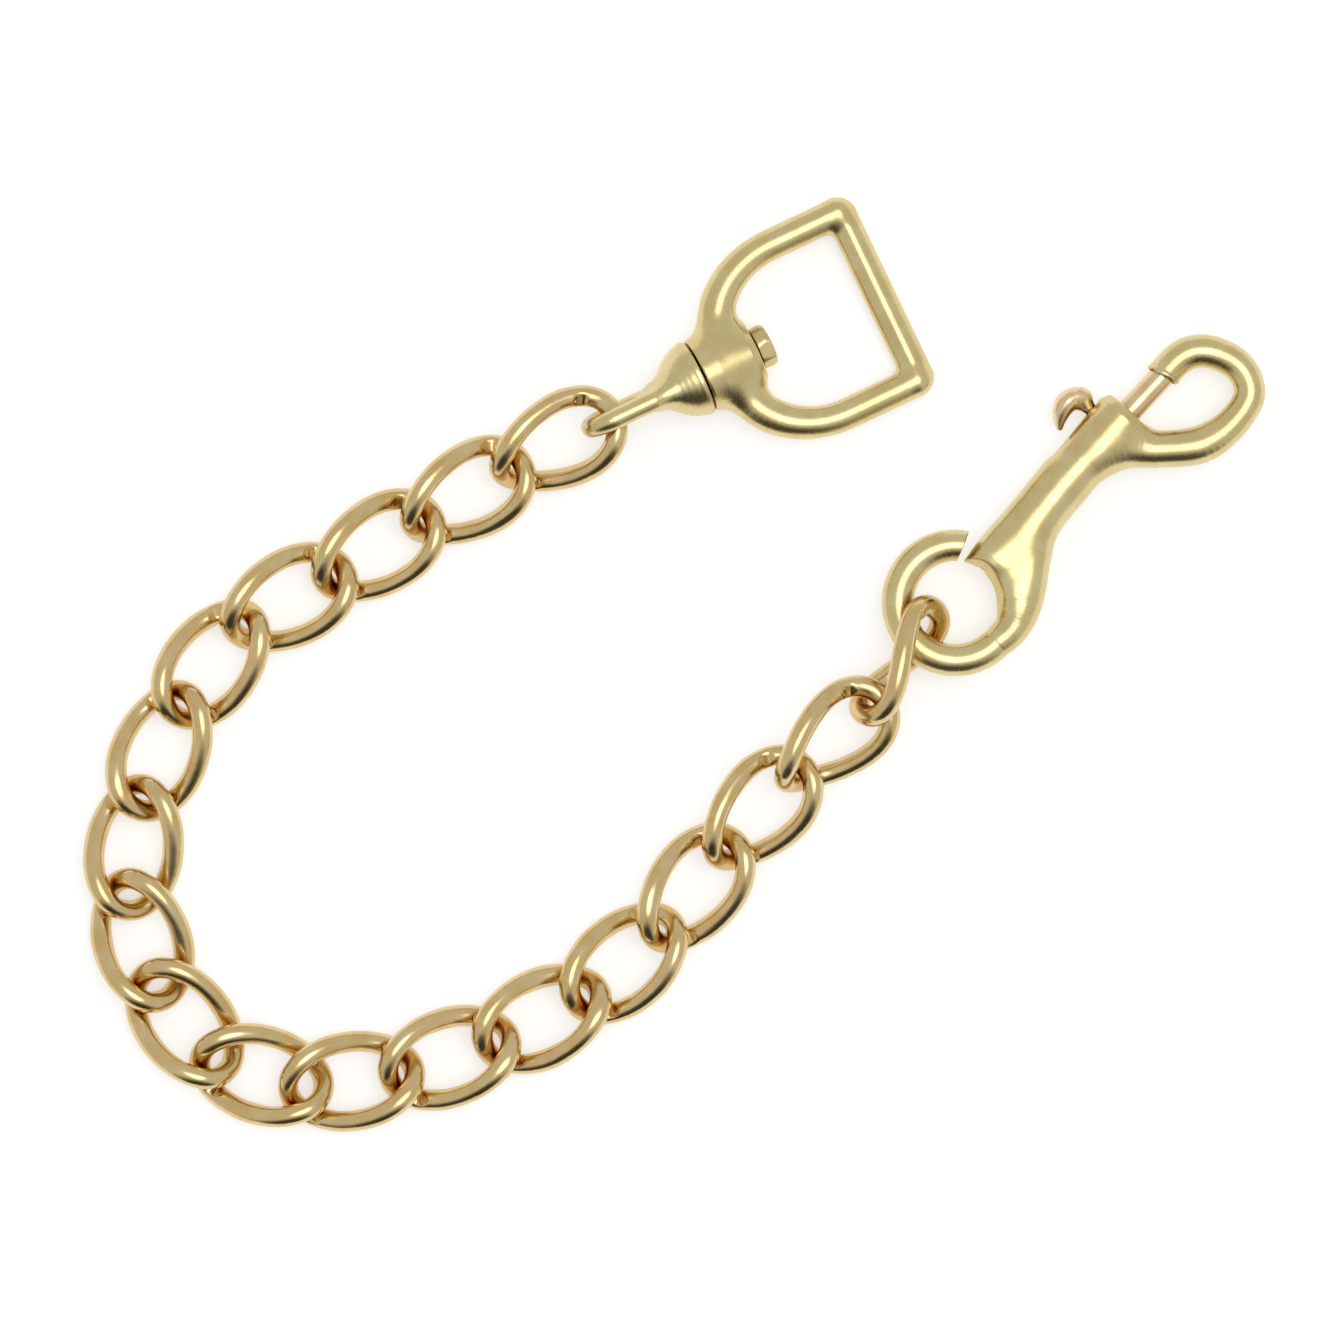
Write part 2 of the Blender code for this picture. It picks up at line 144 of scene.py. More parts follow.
def turned_field(points, profile, rounding=0.0):
    """Distance to a solid turned about X, from a closed profile of (x, radius), with rounded edges."""
    flat = np.stack([points[:, 0], np.hypot(points[:, 1], points[:, 2])], 1)
    corners = np.asarray(profile, float)
    best = np.full(len(flat), 1e18)
    inside = np.zeros(len(flat), bool)
    for first, second in zip(corners, np.roll(corners, -1, 0)):
        edge = second - first
        gap = flat - first
        share = np.clip(gap @ edge / max(edge @ edge, 1e-12), 0, 1)
        off = gap - share[:, None] * edge
        best = np.minimum(best, (off * off).sum(1))
        crosses = (first[1] > flat[:, 1]) != (second[1] > flat[:, 1])
        rise = edge[1] if abs(edge[1]) > 1e-12 else 1e-12
        inside ^= crosses & (flat[:, 0] < first[0] + edge[0] * (flat[:, 1] - first[1]) / rise)
    return np.where(inside, -1, 1) * np.sqrt(best) - rounding


def solid_profile(outline, rounding):
    """A turned outline pulled in by its rounding and mirrored past the axis, so the axis isn't an edge."""
    pulled = []
    xs = [x for x, _ in outline]
    low, high = min(xs) + rounding, max(xs) - rounding
    for x, radius in outline:
        pulled.append((min(max(x, low), high), max(radius - rounding, 0.0)))
    return pulled + [(pulled[-1][0], -3.0), (pulled[0][0], -3.0)]


def joined(first, second, fillet):
    """Union with a fillet."""
    near = np.maximum(fillet - np.abs(first - second), 0) / fillet
    return np.minimum(first, second) - near * near * fillet / 4


def cut(first, second, fillet):
    """First without second, with a rounded edge."""
    near = np.maximum(fillet - np.abs(first + second), 0) / fillet
    return np.maximum(first, -second) + near * near * fillet / 4


def gradient(field, points):
    """Outward directions of the field."""
    step = 0.01
    slopes = []
    for axis in range(3):
        shift = np.zeros(3)
        shift[axis] = step
        slopes.append((field(points + shift) - field(points - shift)) / (2 * step))
    slopes = np.stack(slopes, 1)
    return slopes / np.maximum(np.linalg.norm(slopes, axis=1), 1e-6)[:, None]


def near_cells(field, low, high, size):
    """Corners of the fine cells that can touch the surface, found on a grid four times coarser."""
    coarse = 4 * size
    counts = np.ceil((np.array(high) - low) / coarse).astype(int) + 1
    grid = np.stack(np.meshgrid(*[np.arange(n) for n in counts], indexing="ij"), -1).reshape(-1, 3)
    centres = low + (grid + 0.5) * coarse
    kept = grid[np.abs(field(centres)) < coarse * 1.1]
    inner = np.stack(np.meshgrid(*[np.arange(4)] * 3, indexing="ij"), -1).reshape(-1, 3)
    return (kept[:, None] * 4 + inner[None]).reshape(-1, 3)


def skin(field, low, high, size):
    """Points and quads of the field's zero surface (surface nets), moved onto it."""
    low = np.array(low, float)
    cells = near_cells(field, low, np.array(high, float), size)
    spans = cells.max(0) + 3

    def key(index):
        return (index[:, 0] * spans[1] + index[:, 1]) * spans[2] + index[:, 2]

    offsets = np.array([(a, b, c) for a in (0, 1) for b in (0, 1) for c in (0, 1)])
    corner_keys = key((cells[:, None] + offsets[None]).reshape(-1, 3)).reshape(-1, 8)
    unique, back = np.unique(corner_keys, return_inverse=True)
    back = back.reshape(-1, 8)
    where = np.stack([unique // (spans[1] * spans[2]), unique // spans[2] % spans[1], unique % spans[2]], 1)
    values = np.concatenate([field(low + part * size) for part in np.array_split(where, 8)])
    corner = values[back]
    active = (corner.min(1) < 0) & (corner.max(1) >= 0)
    cells, corner = cells[active], corner[active]
    total = np.zeros((len(cells), 3))
    count = np.zeros(len(cells))
    for first in range(8):
        for axis in range(3):
            if offsets[first][axis]:
                continue
            one, two = corner[:, first], corner[:, first + (4, 2, 1)[axis]]
            crosses = (one < 0) != (two < 0)
            share = np.where(crosses, one / np.where(crosses, one - two, 1), 0)
            place = offsets[first] + share[:, None] * np.eye(3)[axis]
            total += place * crosses[:, None]
            count += crosses
    points = low + (cells + total / np.maximum(count, 1)[:, None]) * size
    order = np.argsort(key(cells))
    sorted_keys = key(cells)[order]
    quads = []
    for axis in range(3):
        one, two = corner[:, 0], corner[:, (4, 2, 1)[axis]]
        edge = np.nonzero((one < 0) != (two < 0))[0]
        side_a, side_b = np.eye(3, dtype=int)[(axis + 1) % 3], np.eye(3, dtype=int)[(axis + 2) % 3]
        ring = []
        good = np.ones(len(edge), bool)
        for shift in (0 * side_a, side_a, side_a + side_b, side_b):
            wanted = key(cells[edge] - shift)
            spot = np.minimum(np.searchsorted(sorted_keys, wanted), len(sorted_keys) - 1)
            good &= sorted_keys[spot] == wanted
            ring.append(order[spot])
        ring = np.stack(ring, 1)
        flip = one[edge] >= 0
        ring[flip] = ring[flip][:, ::-1]
        quads.append(ring[good])
    quads = np.concatenate(quads)
    for _ in range(2):
        smooth_total = np.zeros_like(points)
        smooth_count = np.zeros(len(points))
        for a, b in ((0, 1), (1, 2), (2, 3), (3, 0)):
            np.add.at(smooth_total, quads[:, a], points[quads[:, b]])
            np.add.at(smooth_count, quads[:, a], 1)
        points = 0.5 * points + 0.5 * smooth_total / np.maximum(smooth_count, 1)[:, None]
        for _ in range(2):
            points = points - gradient(field, points) * field(points)[:, None]
    return points, quads, gradient(field, points)


def piece(name, points, quads, normals, matrix, body, node, material):
    """An object from local points in millimetres, riding on a body in place of a CAD node."""
    turn = np.array(matrix.to_3x3())
    placed = np.asarray(points, float) * MM @ turn.T + np.array(matrix.translation)
    mesh = bpy.data.meshes.new(name)
    mesh.vertices.add(len(points))
    mesh.vertices.foreach_set("co", placed.ravel())
    quads = np.asarray(quads)
    mesh.loops.add(quads.size)
    mesh.loops.foreach_set("vertex_index", quads.ravel())
    mesh.polygons.add(len(quads))
    mesh.polygons.foreach_set("loop_start", np.arange(len(quads)) * quads.shape[1])
    mesh.polygons.foreach_set("use_smooth", np.ones(len(quads), bool))
    mesh.update(calc_edges=True)
    mesh.validate()
    if normals is not None:
        mesh.normals_split_custom_set_from_vertices((normals @ turn.T).tolist())
    made = bpy.data.objects.new(name, mesh)
    bpy.context.scene.collection.objects.link(made)
    mesh.materials.append(material)
    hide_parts(node)
    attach(made, body)
    return made


# --- materials -------------------------------------------------------------------------------------------

def node(tree, kind, inputs=None, **settings):
    """A shader node with its settings and its inputs' values."""
    made = tree.nodes.new(kind)
    for name, value in settings.items():
        setattr(made, name, value)
    for name, value in (inputs or {}).items():
        made.inputs[name].default_value = value
    return made


def ramp(tree, source, stops):
    """A colour ramp over a source, from stops of (place, colour)."""
    made = tree.nodes.new("ShaderNodeValToRGB")
    elements = made.color_ramp.elements
    while len(elements) < len(stops):
        elements.new(0.5)
    for element, (place, colour) in zip(elements, stops):
        element.position = place
        element.color = (*colour, 1.0)
    tree.links.new(source, made.inputs["Fac"])
    return made.outputs["Color"]


def grey(value):
    return (value, value, value)


def brass(name, pale, deep, crevice_shade, roughness, grain, grain_size, streaks):
    """Solid brass: patchy colour, painted copper-toned shade in crevices, fine grain in gloss and surface."""
    made = bpy.data.materials.new(name)
    made.use_nodes = True
    tree = made.node_tree
    links = tree.links
    shader = tree.nodes["Principled BSDF"]
    shader.inputs["Metallic"].default_value = 1.0
    where = node(tree, "ShaderNodeTexCoord")
    patches = node(tree, "ShaderNodeTexNoise", {"Scale": 260.0, "Detail": 3.0, "Roughness": 0.55})
    links.new(where.outputs["Object"], patches.inputs["Vector"])
    colour = ramp(tree, patches.outputs["Fac"], ((0.36, pale), (0.66, deep)))
    # Painted shade: ambient occlusion mixes the colour towards a darker copper-toned shade colour in corners
    # and between parts
    hollow = node(tree, "ShaderNodeAmbientOcclusion", {"Distance": 0.0022}, samples=6)
    shade_mix = node(tree, "ShaderNodeMix", data_type="RGBA")
    shade = ramp(tree, hollow.outputs["AO"], ((0.30, grey(1.0)), (0.78, grey(0.0))))
    links.new(shade, shade_mix.inputs["Factor"])
    links.new(colour, shade_mix.inputs["A"])
    shade_mix.inputs["B"].default_value = (*crevice_shade, 1.0)
    links.new(shade_mix.outputs["Result"], shader.inputs["Base Color"])
    fine = node(tree, "ShaderNodeTexNoise", {"Scale": grain_size, "Detail": 4.0, "Roughness": 0.6})
    links.new(where.outputs["Object"], fine.inputs["Vector"])
    gloss = ramp(tree, fine.outputs["Fac"], ((0.25, grey(roughness * 0.80)), (0.75, grey(roughness * 1.30))))
    links.new(gloss, shader.inputs["Roughness"])
    wave = node(tree, "ShaderNodeTexNoise", {"Scale": 420.0, "Detail": 1.0, "Roughness": 0.4})
    links.new(where.outputs["Object"], wave.inputs["Vector"])
    pits = node(tree, "ShaderNodeTexVoronoi", {"Scale": 900.0, "Randomness": 1.0})
    links.new(where.outputs["Object"], pits.inputs["Vector"])
    pit = ramp(tree, pits.outputs["Distance"], ((0.02, grey(0.0)), (0.10, grey(1.0))))
    low = node(tree, "ShaderNodeBump", {"Strength": streaks, "Distance": 0.0002})
    links.new(wave.outputs["Fac"], low.inputs["Height"])
    mid = node(tree, "ShaderNodeBump", {"Strength": 0.10, "Distance": 0.00012})
    links.new(pit, mid.inputs["Height"])
    links.new(low.outputs["Normal"], mid.inputs["Normal"])
    top = node(tree, "ShaderNodeBump", {"Strength": grain, "Distance": 0.00006})
    links.new(fine.outputs["Fac"], top.inputs["Height"])
    links.new(mid.outputs["Normal"], top.inputs["Normal"])
    links.new(top.outputs["Normal"], shader.inputs["Normal"])
    return made


# The third colour of each material is its painted crevice shade
CAST = brass(
    "cast_brass_satin", (0.71, 0.595, 0.305), (0.66, 0.515, 0.23), (0.56, 0.37, 0.14),
    roughness=0.24, grain=0.16, grain_size=2600.0, streaks=0.10,
)
WIRE = brass(
    "drawn_brass_bright", (0.72, 0.56, 0.29), (0.67, 0.475, 0.20), (0.58, 0.31, 0.09),
    roughness=0.17, grain=0.14, grain_size=2200.0, streaks=0.22,
)
TRIM = brass(
    "cast_brass_trim", (0.80, 0.62, 0.38), (0.75, 0.53, 0.29), (0.64, 0.36, 0.13),
    roughness=0.24, grain=0.12, grain_size=2600.0, streaks=0.10,
)
STEEL = brass(
    "spring_steel_grey", (0.42, 0.42, 0.43), (0.36, 0.36, 0.37), (0.20, 0.17, 0.15),
    roughness=0.32, grain=0.30, grain_size=2600.0, streaks=0.05,
)


# --- frames of the three rigid groups ---------------------------------------------------------------------

def frame_of(origin, along):
    """A frame with X along a direction and Y level."""
    x = Vector(along).normalized()
    y = Vector((0, 0, 1)).cross(x).normalized()
    z = x.cross(y)
    turn = Matrix((x, y, z)).transposed().to_4x4()
    return Matrix.Translation(origin) @ turn


def joint(name):
    return next(found for found in frame["joints"] if found["name"] == name)


def swivel_frame():
    turn = joint("swivel_turn")
    return frame_of(turn["pos_m"], turn["axis"])


def snap_frame():
    """The snap's frame, with its origin at the barrel's nose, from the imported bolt."""
    along = -Vector(joint("bolt_slide")["axis"]).normalized()
    points = [Vector(vertex.co) for vertex in frame["nodes"]["snap_bolt"].data.vertices]
    reach = max(point.dot(along) for point in points)
    tip = [point for point in points if reach - point.dot(along) < 0.1 * MM]
    middle = sum(tip, Vector()) / len(tip)
    middle += along * (reach - middle.dot(along))
    return frame_of(middle - along * BOLT_TIP * MM, along)


SWIVEL = swivel_frame()
SNAP = snap_frame()


# --- links -----------------------------------------------------------------------------------------------

def power(value, exponent):
    return math.copysign(abs(value) ** exponent, value)


def link_point(angle):
    """A point of the twisted oval's centre line."""
    half_length = (LINK_INNER_LENGTH + LINK_WIRE) / 2
    half_width = (LINK_INNER_WIDTH + LINK_WIRE) / 2
    x = half_length * power(math.cos(angle), 2 / LINK_FULLNESS)
    side = half_width * power(math.sin(angle), 2 / LINK_FULLNESS)
    twist = -LINK_TWIST * x / half_length
    return np.array((x, side * math.cos(twist), side * math.sin(twist)))


def even_loop(steps):
    """Evenly spaced points round the oval, smoothed so that it bends like wire."""
    dense = np.array([link_point(math.tau * k / 1440) for k in range(1440)])
    gaps = np.linalg.norm(np.roll(dense, -1, 0) - dense, axis=1)
    walked = np.concatenate([[0], np.cumsum(gaps)])
    wanted = np.arange(steps) * walked[-1] / steps
    closed = np.concatenate([dense, dense[:1]])
    loop = np.stack([np.interp(wanted, walked, closed[:, axis]) for axis in range(3)], 1)
    for _ in range(6):
        loop = 0.5 * loop + 0.25 * (np.roll(loop, 1, 0) + np.roll(loop, -1, 0))
    return loop


def link_mesh(number, steps=176, sides=28):
    """A drawn-wire link, a little uneven, with flats where the twisting jaws held it."""
    rng = np.random.default_rng(100 + number)
    loop = even_loop(steps)
    along = np.roll(loop, -1, 0) - np.roll(loop, 1, 0)
    along /= np.linalg.norm(along, axis=1)[:, None]
    outward = loop * (1, 1, 0)
    outward /= np.maximum(np.linalg.norm(outward, axis=1), 1e-6)[:, None]
    first = outward - (outward * along).sum(1)[:, None] * along
    first /= np.linalg.norm(first, axis=1)[:, None]
    second = np.cross(along, first)
    turn = np.arange(sides) * math.tau / sides
    radius = np.full((steps, sides), LINK_WIRE / 2)
    place = np.arange(steps) / steps * math.tau
    for _ in range(4):
        swell = rng.normal(0, 0.012) * np.cos(place * rng.integers(1, 5) + rng.uniform(0, 6.28))
        radius *= 1 + swell[:, None]
    for share in JAW_PLACES:
        middle = int(share * steps)
        away = np.abs((np.arange(steps) - middle + steps / 2) % steps - steps / 2) * LINK_PERIMETER / steps
        bite = np.clip(1.35 - away / 1.25, 0, 1)
        bite = bite * bite * (3 - 2 * bite)
        upward = 1 if second[middle, 2] > 0 else -1
        facing = math.pi / 2 * upward + rng.normal(0, 0.16)
        depth = (JAW_DEPTH[0] + rng.uniform(0, JAW_DEPTH[1])) * bite
        reachable = np.cos(turn[None] - facing)
        plane = (LINK_WIRE / 2 - depth)[:, None] / np.maximum(reachable, 0.05)
        radius = np.where(reachable > 0.05, np.minimum(radius, plane), radius)
    across = np.cos(turn)[None, :, None] * first[:, None] + np.sin(turn)[None, :, None] * second[:, None]
    points = loop[:, None] + radius[..., None] * across
    index = np.arange(steps * sides).reshape(steps, sides)
    ahead = np.roll(index, -1, 0)
    quads = np.stack([index, ahead, np.roll(ahead, -1, 1), np.roll(index, -1, 1)], -1).reshape(-1, 4)
    return points.reshape(-1, 3), quads[:, ::-1]


def flat_frame(place, heading):
    """A level frame at a place, with X along a heading in degrees."""
    return Matrix.Translation(place) @ Matrix.Rotation(math.radians(heading), 4, "Z")


def build_chain():
    """Lays every link where the CAD laid it."""
    corner_line = [Vector(link_point(math.tau * k / 24)) for k in range(24)]
    start = SWIVEL @ Vector(((EYE_SLIP[0] - EYE_REACH) * MM, EYE_SLIP[1] * MM, 0))
    place = Vector((start.x, start.y, 0))
    heading = SWIVEL_HEADING + 180
    before = 0.0
    for number, (turn, roll, rise, lift, play) in enumerate(LINK_LAY, start=1):
        heading += turn
        attitude = Matrix.Rotation(math.radians(-rise), 4, "Y") @ Matrix.Rotation(math.radians(roll), 4, "X")
        height = LINK_WIRE / 2 - min((attitude @ point).z for point in corner_line) + lift
        near = LINK_INNER_LENGTH / 2 - before / 2
        far = LINK_INNER_LENGTH / 2 - play / 2
        base = flat_frame(place, heading)
        matrix = base @ Matrix.Translation((near * MM, 0, height * MM)) @ attitude
        points, quads = link_mesh(number)
        piece(
            f"link_wire_{number:02d}", points, quads, None, matrix,
            f"link_{number:02d}", f"chain_link_{number:02d}", WIRE,
        )
        place = base @ Vector(((near + far) * MM, 0, 0))
        before = play


# --- dee and swivel ----------------------------------------------------------------------------------------

def arc_line(centre, radius, start, end, steps, thickness):
    """Points of a level arc in degrees, with a thickness from a function of the share walked."""
    line = []
    for step in range(steps + 1):
        share = step / steps
        angle = math.radians(start + (end - start) * share)
        x = centre[0] + radius * math.cos(angle)
        y = centre[1] + radius * math.sin(angle)
        line.append((x, y, 0, thickness(share)))
    return line


def between(a, b, c, d, t):
    """The Catmull-Rom value at a share t of the way from b to c."""
    square = (2 * a - 5 * b + 4 * c - d) * t ** 2
    cube = (3 * b - a - 3 * c + d) * t ** 3
    return 0.5 * (2 * b + (c - a) * t + square + cube)


def smooth(points, steps):
    """A Catmull-Rom curve through points of any number of values."""
    padded = [points[0]] + list(points) + [points[-1]]
    line = []
    for before, first, second, after in zip(padded, padded[1:], padded[2:], padded[3:]):
        for step in range(steps):
            t = step / steps
            line.append(tuple(between(*values, t) for values in zip(before, first, second, after)))
    line.append(tuple(points[-1]))
    return line


def dee_arm(side):
    """One side of the bow, from inside the barrel to the strap bar, thicker at its root."""
    root_x, root_y = 0.55 * BARREL_LENGTH, 0.55 * BARREL_RADIUS
    swing = 2.0 * BARREL_LENGTH
    line = []
    for step in range(21):
        angle = math.radians(90) * step / 20
        x = root_x + (swing - root_x) * (1 - math.cos(angle))
        y = root_y + (DEE_HALF - root_y) * math.sin(angle)
        line.append((x, side * y + DEE_SIDE_SET, 0, DEE_WIRE / 2 * (1 + 0.22 * math.cos(angle) ** 2)))
    line.append((DEE_REACH - 1.1, side * DEE_HALF + DEE_SIDE_SET, 0, DEE_WIRE / 2))
    return line


def dee_field(points):
    """Barrel, bow and dressed strap bar, bored for the swivel's pin."""
    start = SEAT_GAP / 2
    end = start + BARREL_LENGTH
    outline = (
        (start, 0), (start, 5.75), (start + 0.35, BARREL_RADIUS), (start + 3.0, BARREL_RADIUS - 0.15),
        (end - 1.3, BARREL_RADIUS * 0.86), (end, BARREL_RADIUS * 0.78), (end, 0),
    )
    barrel = turned_field(points, solid_profile(outline, 0.45), 0.45)
    arms = np.minimum(tube_field(points, dee_arm(1)), tube_field(points, dee_arm(-1)))
    inset = DEE_HALF - 0.6
    bar_points = points - (0, DEE_SIDE_SET, 0)
    bar = tube_field(bar_points, ((DEE_REACH, inset, 0, DEE_WIRE / 2), (DEE_REACH, -inset, 0, DEE_WIRE / 2)))
    ridge = (bar_points[:, 0] - DEE_REACH) * 0.52 + bar_points[:, 2] * 0.854 - 2.42
    inner = -(bar_points[:, 0] - DEE_REACH) * 0.42 + bar_points[:, 2] * 0.907 - 2.44
    bar = cut(bar, -inner, 1.0)
    bar = cut(bar, -ridge, 1.0)
    bow = joined(arms, bar, 1.5)
    body = joined(barrel, bow, 3.4)
    mouth = np.maximum(np.hypot(points[:, 1], points[:, 2]) - (PIN_RADIUS + RUNNING_GAP), points[:, 0] - 14)
    body = cut(body, mouth, 0.25)
    return np.maximum(body, start - points[:, 0])


def eye_line():
    """The swivel's loop before it is tilted: two legs out of the dome and a half circle."""
    middle = EYE_HALF - EYE_REACH - EYE_WIRE / 2
    root = -0.62 * DOME_LENGTH
    radius = EYE_WIRE / 2
    line = [
        (root, 0.55 * EYE_HALF, 0, radius * 1.25),
        (root - 2.4, 0.86 * EYE_HALF, 0, radius * 1.06),
        (root - 5.2, EYE_HALF, 0, radius),
    ]
    arc = []
    for step in range(25):
        angle = math.pi * step / 24
        arc.append((middle - EYE_HALF * math.sin(angle), EYE_HALF * math.cos(angle), 0, radius))
    return line + arc + [(x, -y, z, thickness) for x, y, z, thickness in reversed(line)]


def rivet_field(points, head):
    """The pin's peened head, hammered flat on two sides."""
    end = head + RIVET_LENGTH
    outline = (
        (head, 0), (head, RIVET_RADIUS - 0.1), (head + 1.6, RIVET_RADIUS + 0.05),
        (head + 2.2, RIVET_RADIUS - 0.12), (end, RIVET_RADIUS - 0.75), (end, 0),
    )
    rivet = turned_field(points, solid_profile(outline, 0.22), 0.22)
    top_flat = (points[:, 1] * -0.30 + points[:, 2] * 0.954) - 3.28
    side_flat = (points[:, 1] * -0.93 + points[:, 2] * 0.37) - 3.30
    return cut(cut(rivet, -top_flat, 0.15), -side_flat, 0.15)


def swivel_field(points):
    """Dome, tilted loop, neck between them, and the pin with its head."""
    seat = -SEAT_GAP / 2
    head = BARREL_LENGTH + 1.5 * SEAT_GAP
    outline = [(-DOME_LENGTH, 0), (-DOME_LENGTH, 2.4)]
    for step in range(9):
        angle = math.radians(12 + 76 * step / 8)
        outline.append((-DOME_LENGTH * math.cos(angle) ** 1.15, DOME_RADIUS * math.sin(angle) ** 0.62))
    outline += [(-0.9, DOME_RADIUS), (seat, DOME_RADIUS * 0.97), (seat, 0)]
    dome = turned_field(points, solid_profile(outline, 0.3), 0.3)
    lean, rise = math.cos(EYE_TILT), math.sin(EYE_TILT)
    untilted = points @ np.array(((1, 0, 0), (0, lean, rise), (0, -rise, lean))).T
    loop = tube_field(untilted, eye_line())
    neck = tube_field(points, ((-3, 0, 0, 4.2), (-7.6, 0, 0, 2.6)))
    body = joined(joined(dome, neck, 1.5), loop, 2.6)
    pin = turned_field(points, ((-2, -3), (-2, PIN_RADIUS), (head + 1, PIN_RADIUS), (head + 1, -3)))
    return np.minimum(body, np.minimum(pin, rivet_field(points, head)))


def build_dee():
    points, quads, normals = skin(dee_field, (-1.5, -20.5, -8.5), (37, 19.5, 8.5), DEE_CELL)
    piece("dee_casting", points, quads, normals, SWIVEL, "dee", "dee_frame", CAST)
    points, quads, normals = skin(swivel_field, (-22.5, -8, -8), (14.5, 8, 8), SWIVEL_CELL)
    piece("swivel_casting", points, quads, normals, SWIVEL, "swivel", "swivel_eye", CAST)


# --- snap -------------------------------------------------------------------------------------------------

def snap_outline():
    """Half profile of the snap's barrel, narrowing from its nose to the eye."""
    nose = SNAP_NOSE
    back = -SNAP_LENGTH - 0.9
    return (
        (back, 0), (back, 0.62 * nose), (-34, 0.73 * nose), (-24, 0.80 * nose), (-12, 0.90 * nose),
        (-5.5, nose), (-2.6, 0.985 * nose), (-1.5, 0.90 * nose), (-1.0, 0.74 * nose), (-1.0, 0),
    )


def snap_ring_line():
    """The open eye from its free end round to the web, a touch thinner at the free end."""
    return arc_line(EYE_CENTRE, EYE_RING, 30, 262, 40, lambda share: RING_WIRE * min(1.0, 0.97 + 0.2 * share))


def snap_web_field(points):
    """The web that leaves the eye and swells into the barrel."""
    ring = arc_line(EYE_CENTRE, EYE_RING, 235, 270, 8, lambda share: RING_WIRE)
    swell = (
        (EYE_CENTRE[0], EYE_CENTRE[1] - EYE_RING, 0, 2.7), (-40.6, -10.2, 0, 2.85), (-37.4, -9.4, 0, 3.1),
        (-34.0, -7.5, 0, 3.35), (-29.6, -4.4, 0, 3.5), (-24.5, -1.7, 0, 3.45), (-17.0, -0.2, 0, 3.5),
    )
    inner = ((-27.0, -1.6, 0, 3.3), (-33.0, -3.6, 0, 3.4), (-35.9, -6.4, 0, 3.3), (-37.2, -8.0, 0, 2.9))
    return joined(tube_field(points, ring + smooth(swell, 5)[1:]), tube_field(points, inner), 1.5)


def hook_line():
    """The hook from inside the barrel round to its tip, and the index where its last stretch starts."""
    points = (
        (-9.5, -1.2, 0, 2.9), (-5.5, -3.9, 0, 3.3), (-1.9, -8.0, 0, 3.05), (3.2, -12.3, 0, 3.15),
        (8.9, -13.7, 0, 2.75), (14.7, -12.6, 0, 2.6), (16.9, -8.1, 0, 2.65), (15.3, -2.9, 0, 2.75),
        (11.8, -0.2, 0, 2.75), (6.0, 0.0, 0, 2.55),
    )
    return smooth(points, HOOK_STEPS), 6 * HOOK_STEPS


def snap_hook_field(points):
    """The hook, with its end cut aslant and a low lip round the bolt's socket."""
    line, split = hook_line()
    hook = tube_field(points, line[:split + 1])
    slant = (points[:, 0] - 7.0) * 0.97 + points[:, 1] * 0.20
    end = np.maximum(tube_field(points, line[split:]), -slant)
    lip = np.hypot(np.hypot(points[:, 1], points[:, 2]) - 2.3, points[:, 0] - 7.5 + points[:, 1] * 0.2) - 0.5
    return np.minimum(hook, joined(end, lip, 0.3))


def bored(points, body):
    """The body with the bolt's bore, the vent at its end and the thumb stud's slot."""
    off_axis = np.hypot(points[:, 1], points[:, 2])
    ends = np.maximum(-BORE_DEPTH - points[:, 0], points[:, 0] - SOCKET_END)
    body = cut(body, np.maximum(off_axis - (BOLT_RADIUS + RUNNING_GAP), ends), 0.3)
    body = cut(body, np.maximum(off_axis - VENT_RADIUS, points[:, 0] + BORE_DEPTH - 0.5), 0.15)
    low, high = STEM_PLACE - 9.1, STEM_PLACE + 1.1
    across = np.hypot(points[:, 0] - np.clip(points[:, 0], low, high), points[:, 2]) - 1.15
    return cut(body, np.maximum(across, -points[:, 1]), 0.25)


def snap_field(points):
    """Barrel, web and hook in one casting, with the open eye cut off from the barrel by its gap."""
    barrel = turned_field(points, solid_profile(snap_outline(), 0.6), 0.6)
    body = joined(barrel, snap_web_field(points), 2.4)
    body = joined(body, snap_hook_field(points), 2.4)
    x, y = points[:, 0] - EYE_CENTRE[0], points[:, 1] - EYE_CENTRE[1]
    hollow = np.hypot(x, y) - (EYE_RING - RING_WIRE + 0.42 * np.abs(points[:, 2]))
    body = cut(body, hollow, 0.4)
    along = x * math.cos(EYE_GAP_HEADING) + y * math.sin(EYE_GAP_HEADING)
    aside = -x * math.sin(EYE_GAP_HEADING) + y * math.cos(EYE_GAP_HEADING)
    outward = along - EYE_RING
    ring = tube_field(points, snap_ring_line())
    body = np.where(along > 3, np.maximum(body, aside + 0.35 + outward * 0.10), body)
    ring = np.where(along > 3, np.maximum(ring, 0.30 - aside - outward * 0.22), ring)
    return bored(points, np.minimum(body, ring))


def bolt_field(points):
    """The bolt: spigot for the spring, shoulder, rod and chamfered tip, with the stem's seat."""
    outline = (
        (-13, 0), (-13, 0.9), (-10, 0.9), (-10, BOLT_RADIUS),
        (BOLT_TIP - 0.4, BOLT_RADIUS), (BOLT_TIP, BOLT_RADIUS - 0.4), (BOLT_TIP, 0),
    )
    body = turned_field(points, solid_profile(outline, 0.05), 0.05)
    seat = np.hypot(points[:, 0] - STEM_PLACE, points[:, 2]) - (STEM_RADIUS - 0.05)
    return cut(body, np.maximum(seat, -points[:, 1]), 0.1)


def lever_line():
    """The thumb lever's teardrop, swept back from the stem."""
    points = (
        (0.9, 7.0, 0, 1.25), (0.0, 8.0, 0, 1.60), (-1.6, 8.5, 0, 1.85),
        (-3.3, 8.2, 0, 1.60), (-4.7, 7.4, 0, 1.05), (-5.6, 6.6, 0, 0.6),
    )
    return smooth([(STEM_PLACE + x, y, z, radius) for x, y, z, radius in points], 6)


